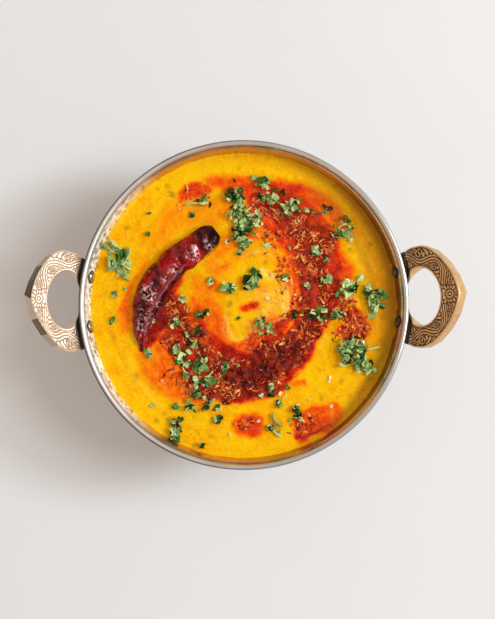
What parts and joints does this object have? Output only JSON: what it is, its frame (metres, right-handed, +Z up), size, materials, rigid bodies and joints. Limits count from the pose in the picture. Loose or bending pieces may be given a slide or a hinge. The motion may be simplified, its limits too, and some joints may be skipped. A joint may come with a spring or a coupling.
{
  "type": "dal in a small karahi",
  "caption": "Yellow dal with chilli-oil tempering, a whole dried chilli and chopped coriander, in a small steel karahi with ornate brass ring handles.",
  "frame": {"origin": "centre of the bowl's flat foot, on the surface it rests on", "axes": "+Z up; X through the two handles; +Y towards the back, the side where the chilli's stem end lies"},
  "size_m": [0.2194, 0.166, 0.0705],
  "materials": {
    "steel": "satin, fine brush lines round the bowl",
    "brass": "cast, scrollwork raised on the upper face, dark in the grooves",
    "rivet": "domed and polished",
    "dal": "thick, wet and glossy, stained red where oil lies on it",
    "chilli": "wrinkled, dry skin, glossy with oil"
  },
  "bodies": {
    "root": {"bowl": "steel", "handle_left": "brass", "handle_right": "brass", "rivet_left_back": "rivet", "rivet_left_front": "rivet", "rivet_right_back": "rivet", "rivet_right_front": "rivet", "dal": "dal", "chilli": "chilli"}
  },
  "joints": []
}
